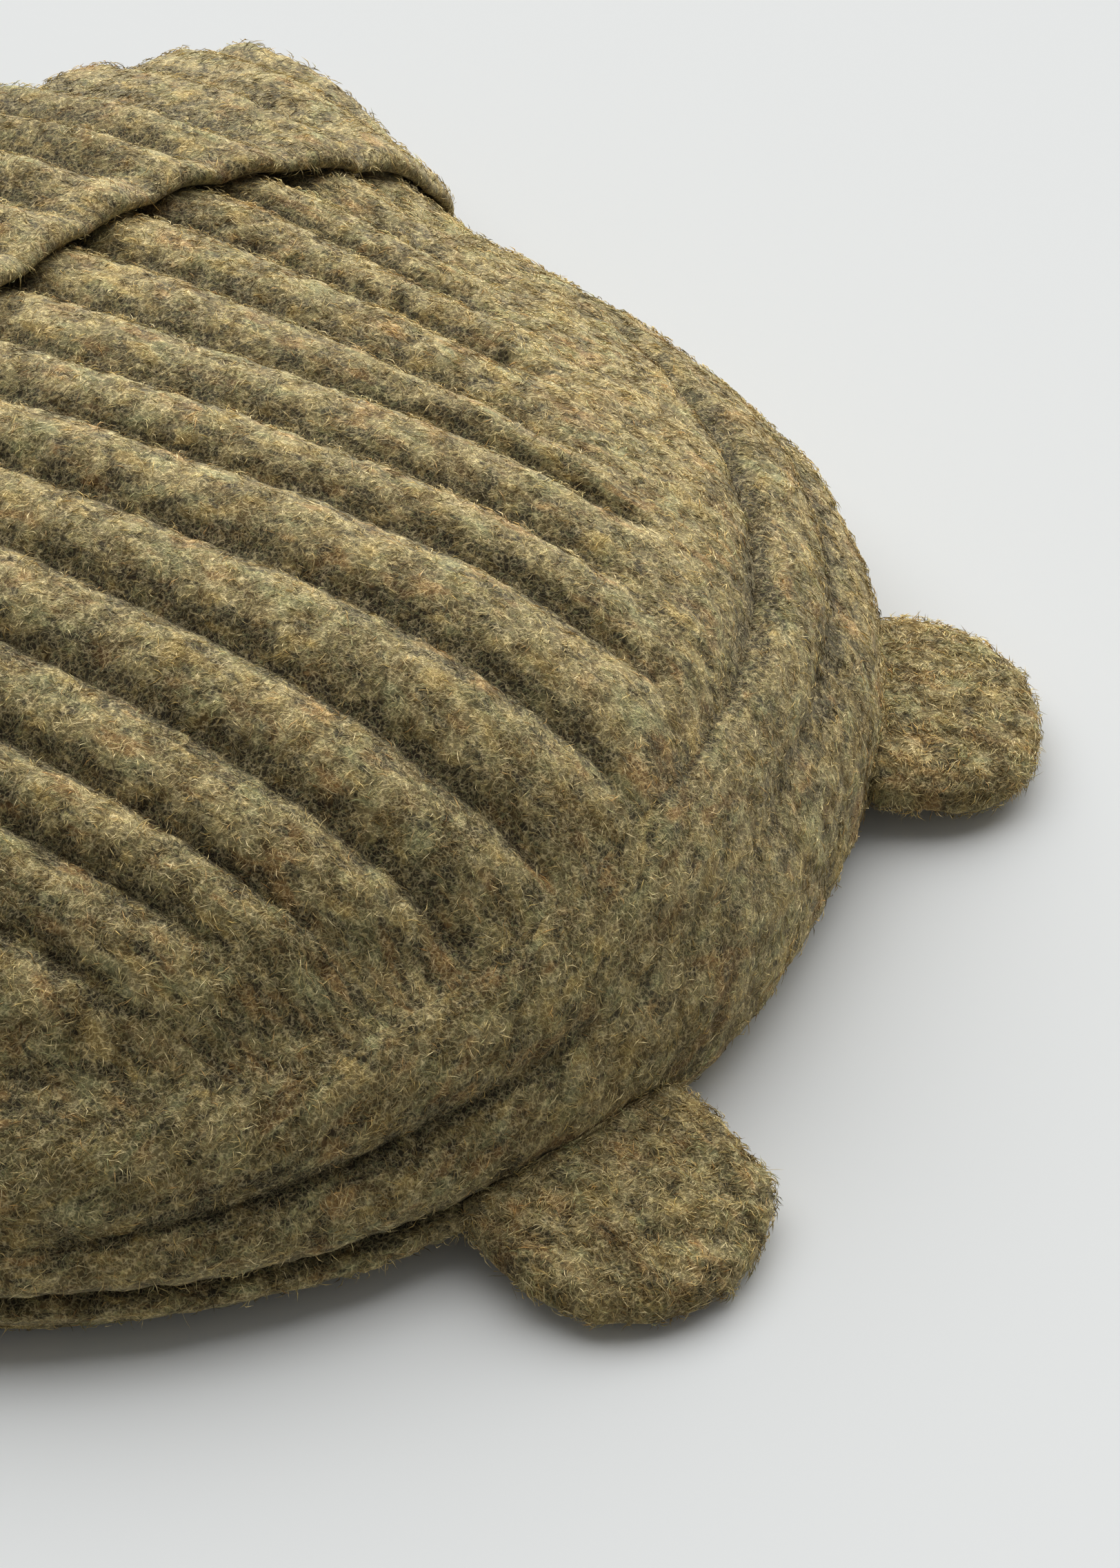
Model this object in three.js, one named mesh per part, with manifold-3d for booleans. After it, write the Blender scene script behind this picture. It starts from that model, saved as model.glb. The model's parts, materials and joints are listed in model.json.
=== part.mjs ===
// Baby's ribbed hat of felted wool, with a turned-up cuff and two flat round ears.
// It lies on its back, front up and softly puffed, as it does on a table.
// Millimetres. +Z is up, +Y runs from the brim to the crown, +X is the wearer's left.
import * as THREE from 'three';
import { mergeVertices } from 'three/addons/utils/BufferGeometryUtils.js';
import Module from 'manifold-3d';

// Hat body
const hatWidth = 176; // between the two side folds, lying flat
const hatLength = 134; // brim to the end of the crown
const outlinePower = 3.2; // 2 is an ellipse, more is squarer at the shoulders
const knitWall = 3.6; // felted rib knit
const ribPitch = 9.8; // one rib and its groove
const ribDepth = 1.5;
const foldHeight = 6.6; // side fold above the table
const peakHeight = 43.2; // top of the puffed front above the table
const peakPlace = 65.6; // that top's distance from the brim
const brimHeight = 28; // puffed front at the brim
const flatShare = 0.88; // how far out the back lies flat, as a share of the outline
const shoulderPlace = 68; // where the side grooves start to turn over the crown

// Roundness of the puffed front
const crossPower = 1.5; // across: less is more like a tent
const crownPower = 3.2; // along, from the top down to the crown's end

// Grooves that run up one side and over the crown to the other: width and length are shares of the
// outline, left and right are the powers of each side's curve
const crownGrooves = [
  { name: 'panel edge', width: 0.818, length: 0.929, left: 4.6, right: outlinePower },
  { name: 'ridge', width: 0.962, length: 0.976, left: outlinePower, right: outlinePower },
  { name: 'side fold', width: 1, length: 1, left: outlinePower, right: outlinePower },
];

// The panel's grooves fade out this far before the panel's edge
const fadeGapMiddle = 8;
const fadeGapSides = 20;
const fadeRun = 12;

// Turned-up cuff
const cuffHeight = 36;
const cuffWall = 4;
const cuffFlare = 2; // how far its sides stand out from the body
const flarePlace = 12; // where they stand out most, from the brim
const liftStart = 3; // this far past the cuff's edge the back starts to sink to the table
const liftRun = 18; // and reaches it over this length

// Ears: felted pads, sewn to the crown's fold
const earWidth = 28.6;
const earReachRadius = 13.1; // half the pad's size away from the crown
const earThickness = 5.6;
const earRoot = 6; // how far the pad goes in from its centre, before the crown cuts it
const earEdgePower = 0.55; // 1 is a plain ellipse, less is a fuller pad with a rounder rim
const ears = [
  { name: 'ear_left', place: 0.273, seat: 4.3 }, // place: share of the half width, seat: pad centre off the fold
  { name: 'ear_right', place: -0.534, seat: 2.9 },
];
const earDroop = 9; // degrees, from the fold down to the table

const seamGap = 0.3; // clearance between pieces that touch

// Columns in each rib, as shares of the pitch: the groove, then the two edges of the crest
const ribColumns = [0, 0.27, 0.73];

const woolColour = 0x85775a;
const earColour = 0x7f7355;

// What follows from the sizes
const halfWidth = hatWidth / 2;
const rollDepth = (knitWall + seamGap + cuffWall) / 2;
const bodyStart = rollDepth + seamGap; // the body's edge lies just inside the brim's roll
const arches = crownGrooves.map((g) => ({
  halfWidth: g.width * halfWidth,
  length: g.length * hatLength,
  left: g.left,
  right: g.right,
}));
const panelRibs = Math.round((2 * arches[0].halfWidth) / ribPitch);

const wasm = await Module();
wasm.setup();

function clamp(value, low, high) {
  return Math.min(Math.max(value, low), high);
}

function smooth(share) {
  const t = clamp(share, 0, 1);
  return t * t * (3 - 2 * t);
}

// The arch at q: 0 is the panel's edge, 1 the ridge groove, 2 the side fold
function archAt(q) {
  const low = Math.min(Math.floor(q), arches.length - 2);
  const between = (key) => THREE.MathUtils.lerp(arches[low][key], arches[low + 1][key], q - low);
  return {
    halfWidth: between('halfWidth'),
    length: between('length'),
    left: between('left'),
    right: between('right'),
  };
}

function powerAt(arch, x) {
  return x > 0 ? arch.left : arch.right;
}

function lengthShare(arch, y) {
  return clamp((y - bodyStart) / (arch.length - bodyStart), 0, 1);
}

// side is above 0 for the wearer's left
function archHalfWidth(arch, y, side) {
  return arch.halfWidth * Math.sqrt(1 - lengthShare(arch, y) ** powerAt(arch, side));
}

function archEnd(arch, x) {
  const rest = Math.max(1 - (x / arch.halfWidth) ** 2, 0);
  return bodyStart + (arch.length - bodyStart) * rest ** (1 / powerAt(arch, x));
}

// The cuff's lower layer lifts the back of the body off the table
function lift(y) {
  return (seamGap + cuffWall) * (1 - smooth((y - cuffHeight - liftStart) / liftRun));
}

function foldZ(y) {
  return foldHeight + lift(y);
}

function ridgeZ(y) {
  if (y < peakPlace) {
    return peakHeight - (peakHeight - brimHeight) * ((peakPlace - y) / peakPlace) ** 2;
  }
  const share = clamp((y - peakPlace) / (hatLength - peakPlace), 0, 1);
  return foldHeight + (peakHeight - foldHeight) * Math.sqrt(1 - share ** crownPower);
}

function frontZ(x, y) {
  const width = archHalfWidth(arches[2], y, x);
  const share = width > 0 ? Math.min(Math.abs(x) / width, 1) : 1;
  return foldZ(y) + (ridgeZ(y) - foldZ(y)) * Math.sqrt(1 - share ** crossPower);
}

function backZ(x, y) {
  const outline = arches[2];
  const out = Math.sqrt((x / outline.halfWidth) ** 2 + lengthShare(outline, y) ** outlinePower);
  const share = clamp((out - flatShare) / (1 - flatShare), 0, 1);
  return lift(y) + (foldZ(y) - lift(y)) * (1 - Math.sqrt(1 - share ** 2));
}

// How deep the panel's groove at u (-1 to 1 across the panel) is at y
function panelFade(u, y, end) {
  const gap = fadeGapMiddle + (fadeGapSides - fadeGapMiddle) * u * u;
  return smooth((end - gap - y) / fadeRun + 0.5);
}

// One face of the body, as triangles of { x, y, z, dent } points. The panel's columns run from the brim
// to the panel's edge, and a band that follows the outline joins that edge to the side fold.
function bodyFace(front, columns, rowShares, overrun) {
  const height = front ? frontZ : backZ;
  const edge = arches[0];
  const cuffEdge = cuffHeight + seamGap;
  const across = [];
  for (let rib = 0; rib < panelRibs; rib += 1) {
    for (const c of columns) across.push({ u: (2 * (rib + c)) / panelRibs - 1, groove: c === 0 });
  }
  across.push({ u: 1, groove: true });

  const panel = across.map(({ u, groove }) => {
    const atSide = Math.abs(u) === 1;
    const end = atSide ? shoulderPlace : archEnd(edge, u * archHalfWidth(edge, shoulderPlace, u));
    const rows = [bodyStart, (bodyStart + cuffEdge) / 2];
    if (overrun > 0) rows.unshift(bodyStart - overrun);
    for (const share of rowShares) rows.push(cuffEdge + (end - cuffEdge) * share);
    return rows.map((y, row) => {
      const x = u * archHalfWidth(edge, Math.min(y, shoulderPlace), u);
      const atEdge = atSide || row === rows.length - 1;
      return { x, y, z: height(x, y), dent: atEdge ? 1 : Number(groove) * panelFade(u, y, end) };
    });
  });

  const last = panel.length - 1;
  const path = [...panel[0], ...panel.slice(1, last).map((c) => c[c.length - 1]), ...[...panel[last]].reverse()];
  const steps = [];
  for (let rib = 0; rib < arches.length - 1; rib += 1) {
    for (const c of columns) steps.push({ q: rib + c, dent: c === 0 ? 1 : 0 });
  }
  steps.push({ q: arches.length - 1, dent: 1 });
  const band = path.map((p) => {
    const along = lengthShare(edge, p.y) ** (powerAt(edge, p.x) / 2);
    const turn = Math.atan2(along, p.x / edge.halfWidth);
    return steps.map(({ q, dent }) => {
      if (q === 0) return p;
      const arch = archAt(q);
      const x = arch.halfWidth * Math.cos(turn);
      const share = Math.max(Math.sin(turn), 0) ** (2 / powerAt(arch, p.x));
      const y = bodyStart + (arch.length - bodyStart) * share;
      const z = q === arches.length - 1 ? foldZ(y) : height(x, y);
      return { x, y: p.y < bodyStart ? p.y : y, z, dent };
    });
  });
  return [...grid(panel, !front), ...grid(band, !front)];
}

// Two triangles for each cell of a grid of points
function grid(points, flip) {
  const triangles = [];
  for (let i = 0; i + 1 < points.length; i += 1) {
    for (let j = 0; j + 1 < points[i].length; j += 1) {
      const cell = [points[i][j], points[i + 1][j], points[i + 1][j + 1], points[i][j + 1]];
      if (flip) cell.reverse();
      triangles.push([cell[0], cell[1], cell[2]], [cell[0], cell[2], cell[3]]);
    }
  }
  return triangles;
}

function geometryOf(triangles) {
  const corners = triangles.flat();
  const geometry = new THREE.BufferGeometry();
  const places = corners.flatMap((p) => [p.x, p.y, p.z]);
  geometry.setAttribute('position', new THREE.Float32BufferAttribute(places, 3));
  if (corners[0].dent !== undefined) {
    geometry.setAttribute('dent', new THREE.Float32BufferAttribute(corners.map((p) => p.dent), 1));
  }
  return mergeVertices(geometry, 1e-4);
}

// The body's outer skin moved out by offset, its grooves sunk by depth, and closed flat at the brim
function bodySkin(offset, depth, columns, rowShares, overrun = 0) {
  const skin = geometryOf([
    ...bodyFace(true, columns, rowShares, overrun),
    ...bodyFace(false, columns, rowShares, overrun),
  ]);
  skin.computeVertexNormals();
  const place = skin.attributes.position;
  const mouth = { front: [], back: [] };
  for (let i = 0; i < place.count; i += 1) {
    const way = new THREE.Vector3().fromBufferAttribute(skin.attributes.normal, i);
    const p = new THREE.Vector3().fromBufferAttribute(place, i);
    if (p.y < bodyStart + 0.01) way.setY(0).normalize();
    if (p.y < bodyStart - overrun + 0.01) {
      const overFold = p.z - foldZ(0);
      if (overFold > -0.01) mouth.front.push({ i, x: p.x });
      if (overFold < 0.01) mouth.back.push({ i, x: p.x });
    }
    p.addScaledVector(way, offset - depth * skin.attributes.dent.getX(i));
    if (offset === 0) p.z = Math.max(p.z, 0);
    place.setXYZ(i, p.x, p.y, p.z);
  }
  for (const side of Object.values(mouth)) side.sort((a, b) => a.x - b.x);
  const faces = [...skin.index.array];
  for (let k = 0; k + 1 < mouth.front.length; k += 1) {
    const [low, lowNext] = [mouth.back[k].i, mouth.back[k + 1].i];
    const [high, highNext] = [mouth.front[k].i, mouth.front[k + 1].i];
    if (low !== high) faces.push(low, highNext, high);
    if (lowNext !== highNext) faces.push(low, lowNext, highNext);
  }
  skin.setIndex(faces);
  return skin;
}

function solidOf(geometry) {
  return new wasm.Manifold(
    new wasm.Mesh({
      numProp: 3,
      vertProperties: new Float32Array(geometry.attributes.position.array),
      triVerts: new Uint32Array(geometry.index.array),
    }),
  );
}

function geometryFrom(solid) {
  const mesh = solid.getMesh();
  const geometry = new THREE.BufferGeometry();
  geometry.setAttribute('position', new THREE.BufferAttribute(mesh.vertProperties, 3));
  geometry.setIndex(new THREE.BufferAttribute(mesh.triVerts, 1));
  return geometry;
}

// Hollow body, open at the brim
function makeCrown() {
  const rows = [0, 0.15, 0.3, 0.44, 0.57, 0.69, 0.79, 0.88, 0.95, 1];
  const innerRows = [0, 0.3, 0.57, 0.79, 1];
  const outside = solidOf(bodySkin(0, ribDepth, ribColumns, rows));
  const inside = solidOf(bodySkin(-knitWall, 0, [0], innerRows, knitWall));
  const seat = solidOf(bodySkin(seamGap, 0, ribColumns, rows));
  return { body: geometryFrom(outside.subtract(inside)), seat };
}

// Stations once round the body, at any y: across the front from -X to +X, then across the back
function ringStations() {
  const side = [];
  for (let rib = 0; rib < arches.length - 1; rib += 1) {
    for (const c of ribColumns) side.push({ q: rib + c, groove: c === 0 });
  }
  const fold = { q: arches.length - 1, groove: true };
  const stations = [];
  for (const front of [true, false]) {
    const way = front ? 1 : -1;
    for (const s of [fold, ...side.slice(1).reverse()]) stations.push({ front, across: -way, ...s });
    for (let rib = 0; rib < panelRibs; rib += 1) {
      for (const c of ribColumns) {
        stations.push({ front, across: way * ((2 * (rib + c)) / panelRibs - 1), q: 0, groove: c === 0 });
      }
    }
    for (const s of side) stations.push({ front, across: way, ...s });
  }
  return stations;
}

function ringPoint({ front, across, q }, y) {
  const x = across * archHalfWidth(archAt(q), y, across);
  return new THREE.Vector3(x, y, front ? frontZ(x, y) : backZ(x, y));
}

// How far the cuff's sides stand out at y, as a share of its flare
function flareShare(y) {
  return (y / flarePlace) * Math.exp(1 - y / flarePlace);
}

// The cuff's section round the brim, as y and distance out from the body, for a side share of 0 to 1
function cuffSection(sideShare) {
  const out = (y) => cuffFlare * sideShare * flareShare(y);
  const rollSteps = 5;
  const section = [];
  for (let k = 0; k <= rollSteps; k += 1) {
    const turn = (Math.PI * k) / rollSteps;
    const reach = (knitWall + seamGap + cuffWall + out(rollDepth)) / 2;
    const rib = Math.sin(turn / 2);
    section.push({ y: rollDepth * (1 - Math.sin(turn)), out: reach * (1 - Math.cos(turn)) - knitWall, rib });
  }
  const layer = seamGap + cuffWall;
  for (const share of [0.4, 0.68]) {
    section.push({ y: share * cuffHeight, out: layer + out(share * cuffHeight), rib: 1 });
  }
  const tip = cuffWall * 0.3;
  section.push({ y: cuffHeight - tip, out: layer + out(cuffHeight), rib: 1 });
  section.push({ y: cuffHeight, out: layer - tip + out(cuffHeight), rib: 0.6 });
  section.push({ y: cuffHeight, out: seamGap + tip + out(cuffHeight), rib: 0 });
  for (const share of [0.95, 0.6, 0.3]) {
    section.push({ y: share * cuffHeight, out: seamGap + out(share * cuffHeight), rib: 0 });
  }
  section.push({ y: rollDepth, out: seamGap, rib: 0 });
  return section;
}

// The cloth rolled back over the body at the brim, one closed band
function makeCuff() {
  const stations = ringStations();
  const count = stations.length;
  const rings = stations.map((station, j) => {
    const before = stations[(j + count - 1) % count];
    const after = stations[(j + 1) % count];
    const normalAt = (y) => {
      const round = ringPoint(after, y).sub(ringPoint(before, y));
      const along = ringPoint(station, y + 1).sub(ringPoint(station, y));
      return round.cross(along).setY(0).normalize();
    };
    const sideShare = Math.abs(normalAt(rollDepth).x);
    return cuffSection(sideShare).map(({ y, out, rib }) => {
      const dent = station.groove ? ribDepth * rib : 0;
      const p = ringPoint(station, y).addScaledVector(normalAt(y), out - dent);
      return p.setZ(Math.max(p.z, 0));
    });
  });
  rings.push(rings[0]);
  const closed = rings.map((ring) => [...ring, ring[0]]);
  return geometryOf(grid(closed, false));
}

// One flat pad: a round outline, full in the middle and rounded at its rim, cut to the crown it is sewn to
function makeEar({ place, seat }, crownSeat) {
  const pad = new THREE.SphereGeometry(1, 28, 12);
  pad.deleteAttribute('normal');
  pad.deleteAttribute('uv');
  pad.rotateX(Math.PI / 2);
  const at = pad.attributes.position;
  for (let i = 0; i < at.count; i += 1) {
    const z = at.getZ(i);
    const full = Math.sign(z) * Math.abs(z) ** earEdgePower;
    const y = Math.max(at.getY(i) * earReachRadius, -earRoot - seat);
    at.setXYZ(i, (at.getX(i) * earWidth) / 2, y, (full * earThickness) / 2);
  }
  const fold = arches[2];
  const x = place * halfWidth;
  const y = archEnd(fold, x);
  const slopeX = (2 * x) / halfWidth ** 2;
  const slopeY = (outlinePower * lengthShare(fold, y) ** (outlinePower - 1)) / (hatLength - bodyStart);
  const turn = Math.atan2(slopeX, slopeY);
  pad.translate(0, seat, 0);
  pad.rotateX(-THREE.MathUtils.degToRad(earDroop));
  pad.rotateZ(-turn);
  pad.translate(x, y, foldHeight - 0.2 * earThickness);
  return geometryFrom(solidOf(mergeVertices(pad, 1e-4)).subtract(crownSeat));
}

function mesh(name, geometry, colour) {
  const material = new THREE.MeshStandardMaterial({ color: colour, roughness: 0.95, metalness: 0 });
  const piece = new THREE.Mesh(geometry, material);
  piece.name = name;
  return piece;
}

const hat = new THREE.Group();
const { body, seat } = makeCrown();
hat.add(mesh('knit_crown', body, woolColour));
hat.add(mesh('turned_up_cuff', makeCuff(), woolColour));
for (const ear of ears) hat.add(mesh(ear.name, makeEar(ear, seat), earColour));

// The origin is under the middle of the hat, on the table
const box = new THREE.Box3().setFromObject(hat);
const middle = box.getCenter(new THREE.Vector3());
hat.position.set(-middle.x, -middle.y, -box.min.z);
hat.updateMatrixWorld(true);

export default hat;
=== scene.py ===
import json
import math

import bpy
import numpy as np
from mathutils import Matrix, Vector
from mathutils.bvhtree import BVHTree

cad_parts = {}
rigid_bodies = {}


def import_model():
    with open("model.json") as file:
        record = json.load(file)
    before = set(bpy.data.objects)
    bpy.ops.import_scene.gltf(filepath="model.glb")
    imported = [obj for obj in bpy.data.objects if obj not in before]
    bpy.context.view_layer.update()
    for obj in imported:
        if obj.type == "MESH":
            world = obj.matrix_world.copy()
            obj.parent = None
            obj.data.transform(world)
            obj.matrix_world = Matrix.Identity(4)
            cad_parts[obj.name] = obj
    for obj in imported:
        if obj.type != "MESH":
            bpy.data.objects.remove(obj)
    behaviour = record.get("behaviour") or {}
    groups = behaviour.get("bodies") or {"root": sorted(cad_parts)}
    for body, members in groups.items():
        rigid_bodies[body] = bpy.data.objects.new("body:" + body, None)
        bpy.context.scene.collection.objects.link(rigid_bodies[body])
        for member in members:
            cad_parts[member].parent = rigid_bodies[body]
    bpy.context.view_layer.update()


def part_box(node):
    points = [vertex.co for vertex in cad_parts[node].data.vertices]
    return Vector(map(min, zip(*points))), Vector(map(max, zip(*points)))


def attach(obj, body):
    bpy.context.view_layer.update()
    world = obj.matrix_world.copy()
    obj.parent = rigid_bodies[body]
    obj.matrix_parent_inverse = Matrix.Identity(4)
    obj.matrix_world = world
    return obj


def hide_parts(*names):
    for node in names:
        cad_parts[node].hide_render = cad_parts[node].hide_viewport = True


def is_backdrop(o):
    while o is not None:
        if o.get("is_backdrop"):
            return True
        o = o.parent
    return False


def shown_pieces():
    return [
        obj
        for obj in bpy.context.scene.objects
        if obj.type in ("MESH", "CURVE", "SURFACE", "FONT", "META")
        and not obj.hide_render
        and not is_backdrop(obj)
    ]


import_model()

# The hat lies on its back. Lengths are in millimetres from the brim and from its middle line,
# and place() puts them in the frame, in metres.
hat = {
    "width": 176.0,
    "length": 134.0,
    "wall": 3.6,
    "seamGap": 0.3,
    "bodyStart": 4.25,
    "foldHeight": 6.6,
    "peakHeight": 43.2,
    "peakPlace": 65.6,
    "brimHeight": 31.0,
    "flatShare": 0.88,
    "shoulderPlace": 68.0,
    "crossPower": 1.5,
    "crownPower": 3.2,
    "ribPitch": 9.8,
    "ribsAcross": 18,  # ribs in the hat's width, as the wool's pattern counts them
    "ribDepth": 2.1,
    "innerGroove": 0.3,
    "grooveSharpness": 2.4,
    "edgeSharpness": 1.6,
    "lumpDepth": 0.45,
    "lumpSize": 9.0,
}

# A pair named after a ramp is where it starts and how long it runs.
# Towards the brim the hat's two sides spread outwards and flatten
spread = {
    "ramp": (50, 38),
    "within": 100,
    "length": 40,
    "power": 1.15,
    "far": 13.0,
    "near": 8.0,
    "flatten": 0.36,
    "back": 4.0,
}

# The body is pressed in on its far side behind the cuff, and at the crown between the ears
press = {
    "far": 3.4,
    "farRamp": (52, 34),
    "cuffRamp": (30, 24),
    "fadeRamp": (66, 46),
    "end": 0.9,
    "endPlace": -22,
    "endWidth": 15,
    "endRamp": (112, 18),
}

# The three arches that the side ribs follow: half width, length, and the power of each side's curve
arches = {
    "q": [0, 1, 2],
    "halfWidth": [71.98, 84.66, 88.0],
    "length": [124.49, 130.78, 134.0],
    "left": [4.6, 3.2, 3.2],
    "right": [3.2, 3.2, 3.2],
}

# How deep each arch's groove is along its way, by the share of the half width: -1 far side, 1 near side
archDepths = {
    "way": [-1.0, -0.86, -0.5, -0.38, -0.2, 0.1, 0.22, 0.35, 0.5, 0.86, 1.0],
    "panelEdge": [0.8, 1.1, 1.2, 1.0, 0.7, 0.35, 0.2, 0.2, 0.15, 0.1, 0.1],
    "ridge": [0.5, 0.7, 0.9, 0.9, 0.5, 0.15, 0.4, 1.0, 1.2, 0.5, 0.8],
    "fold": [0.8, 0.8, 0.6, 0.3, 0.1, 0.1, 0.3, 0.9, 1.2, 1.2, 1.2],
    "ridgePlace": [1.0, 0.95, 0.85, 0.85, 0.95, 1.1, 1.2, 1.3, 1.4, 1.7, 1.85],
}

# The fold lies higher along the near side, and so does the cloth within reach of it
nearFold = {"rise": 1.5, "reach": 4.5, "xRamp": (45, 35), "yRamp": (46, 14)}

# A soft wide valley inside the panel's edge on the near side, with painted shade in it; place and width are
# shares of the arch
nearValley = {
    "place": 0.955,
    "width": 0.055,
    "depth": 1.7,
    "shade": 0.35,
    "xRamp": (5, 25),
    "yRamp": (50, 20),
}

# The front panel's grooves, from the far side to the near one: x where the cuff ends, then x and y where
# the groove fades out
panelGrooves = [
    (-70.8, -67.1, 68.0),
    (-62.0, -59.0, 69.5),
    (-54.0, -51.0, 72.0),
    (-45.0, -43.0, 83.0),
    (-34.6, -33.0, 91.0),
    (-24.0, -28.0, 103.0),
    (-14.0, -18.5, 108.0),
    (-5.0, -10.5, 117.0),
    (4.4, 2.4, 121.0),
    (13.4, 14.5, 121.0),
    (23.0, 25.0, 117.0),
    (32.0, 34.0, 109.0),
    (41.0, 40.5, 101.0),
    (50.0, 49.0, 97.0),
    (60.5, 59.5, 84.0),
    (71.7, 70.0, 68.0),
]
grooveFade = 14.0
bendStart = 45.0  # up to here the grooves run straight

cuff = {
    "height": 36.0,
    "ribDepth": 3.1,
    "wall": 4.0,
    "flare": 1.4,
    "grooveSharpness": 1.5,
    "flarePlace": 15.0,
    "flareRun": 11.0,
    "liftStart": 3.0,
    "liftRun": 18.0,
    "taper": 0.35,  # how much thinner it is at its free edge
    "taperRamp": (22, 16),
    "press": 0.6,  # and at the far side there
    "pressRamp": (40, 40),
    "edgeRibs": 0.4,  # how much of the ribs' depth is left at its free edge
    "edgeRibRamp": (0.72, 0.28),
    "edgeRoundness": 0.7,
    "edgeDraw": 0.2,  # how far each groove draws the edge in
    "edgeWave": 0.4,
    "waveSeed": 7,
    "waveCount": 6,
    # how strongly the painted shade and dark flecks in the cuff's grooves show
    "grooveShadeGain": 1.1,
    "lumpDepth": 0.27,
    "tuftFade": 6.0,
    "middleHeight": 16.0,
    "bodyOverlap": 2.0,  # how far under its edge the body's fine rows begin
}
# The cuff's free edge drops at the hat's two sides: x, and its height there on the front and on the back
cuffEdge = [
    (-88, 45.5, 45.5),
    (-80, 45.2, 43.0),
    (-70, 43.8, 39.0),
    (-60, 40.2, 37.0),
    (-50, 36.8, 36.0),
    (-30, 35.6, 36.0),
    (0, 36.3, 36.0),
    (50, 36.5, 36.0),
    (62, 39.5, 37.0),
    (80, 44.0, 42.0),
    (88, 45.0, 45.0),
]

ears = {
    "squareness": 2.25,
    "thickness": 5.6,
    "root": 6.0,
    "fullness": 0.55,
    "droop": 9.0,
    "sink": 0.2,  # how far the pad's middle sits under the fold, in shares of its thickness
    "clearance": 0.25,
    "search": (4.0, 25.0, 0.05),  # for the crown: from how far back, how far, and the step past a hit
    "lumpSize": 5.0,
    "lumpDepth": 0.7,
    "tuftRamp": (1, 3),
}
# The two pads: place as a share of the half width, the pad's centre off the fold, its width and its reach
earPlaces = {"ear_left": (0.274, 4.4, 27.2, 14.3), "ear_right": (-0.532, 2.8, 27.0, 12.4)}

# The felt's tufts, coarse and fine
tufts = {
    "size": 1.6,
    "depth": 0.4,
    "fineSize": 0.8,
    "fineShare": 0.7,
    "ramp": (0.22, 0.56),
    "seeds": (21, 22),
    "cuffFade": 5.0,
}

# Where the wool's pattern starts on each part
patternStart = {"band": 200, "cuff": 300, "ear": 500}

mm = 0.001
startY = hat["bodyStart"]
halfWidth = hat["width"] / 2
panelRibs = len(panelGrooves) - 1
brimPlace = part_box("knit_crown")[0].y / mm - startY
rollRadius = (hat["wall"] + hat["seamGap"] + cuff["wall"]) / 2


def smooth(t):
    t = np.clip(t, 0, 1)
    return t * t * (3 - 2 * t)


# Rises softly from 0 to 1
def ramp(value, start, run):
    return smooth((value - start) / run)


# 1 in the middle, softly down to 0 on both sides
def hump(value, middle, width):
    return np.exp(-(((value - middle) / width) ** 2))


def unit(vectors):
    return vectors / np.linalg.norm(vectors, axis=1)[:, None]


def place(points):
    moved = np.array(points, float)
    x, y = moved[..., 0].copy(), moved[..., 1].copy()
    pressed = ramp(-x, *press["farRamp"]) * ramp(y, *press["cuffRamp"]) * (1 - ramp(y, *press["fadeRamp"]))
    moved[..., 0] += press["far"] * pressed
    between = hump(x, press["endPlace"], press["endWidth"]) * ramp(y, *press["endRamp"])
    between = between * (y < hat["length"] + 1)
    side = ramp(np.abs(x), *spread["ramp"]) * (np.abs(x) < spread["within"])
    side = side * np.clip(1 - y / spread["length"], 0, 1) ** spread["power"]
    moved[..., 0] += side * np.where(x < 0, -spread["far"], spread["near"])
    moved[..., 2] *= 1 - spread["flatten"] * side
    moved[..., 1] += brimPlace - press["end"] * between + spread["back"] * side
    return moved * mm


def archAt(q, x):
    halves = np.interp(q, arches["q"], arches["halfWidth"])
    lengths = np.interp(q, arches["q"], arches["length"])
    left = np.interp(q, arches["q"], arches["left"])
    right = np.interp(q, arches["q"], arches["right"])
    return halves, lengths, np.where(x > 0, left, right)


def lengthShare(length, y):
    return np.clip((y - startY) / (length - startY), 0, 1)


def archHalfWidth(q, y, side):
    half, length, power = archAt(q, side)
    return half * np.sqrt(1 - lengthShare(length, y) ** power)


def archEnd(q, x):
    half, length, power = archAt(q, x)
    return startY + (length - startY) * np.maximum(1 - (x / half) ** 2, 0) ** (1 / power)


def lift(y):
    rise = hat["seamGap"] + cuff["wall"]
    return rise * (1 - ramp(y - cuff["height"], cuff["liftStart"], cuff["liftRun"]))


def foldZ(y):
    return hat["foldHeight"] + lift(y)


def ridgeZ(y):
    top, peakY = hat["peakHeight"], hat["peakPlace"]
    brimSide = top - (top - hat["brimHeight"]) * (np.maximum(peakY - y, 0) / peakY) ** 2
    share = np.clip((y - peakY) / (hat["length"] - peakY), 0, 1)
    crownSide = hat["foldHeight"] + (top - hat["foldHeight"]) * np.sqrt(1 - share ** hat["crownPower"])
    return np.where(y < peakY, brimSide, crownSide)


def frontZ(x, y):
    width = archHalfWidth(2, y, x)
    share = np.where(width > 0, np.minimum(np.abs(x) / np.maximum(width, 1e-9), 1), 1)
    return foldZ(y) + (ridgeZ(y) - foldZ(y)) * np.sqrt(1 - share ** hat["crossPower"])


def backZ(x, y):
    power = arches["left"][2]
    out = np.sqrt((x / halfWidth) ** 2 + lengthShare(hat["length"], y) ** power)
    share = np.clip((out - hat["flatShare"]) / (1 - hat["flatShare"]), 0, 1)
    return lift(y) + (foldZ(y) - lift(y)) * (1 - np.sqrt(1 - share**2))


# A groove's depth, 1 at its bottom, by the distance from it in shares of a rib: 0 to 0.5
def grooveShape(away, sharpness=hat["grooveSharpness"]):
    return np.clip(1 - 2 * np.abs(away), 0, 1) ** sharpness


def archGroove(name, way):
    return np.interp(way, archDepths["way"], archDepths[name])


def deselectAll():
    for o in bpy.context.selected_objects:
        o.select_set(False)


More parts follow.
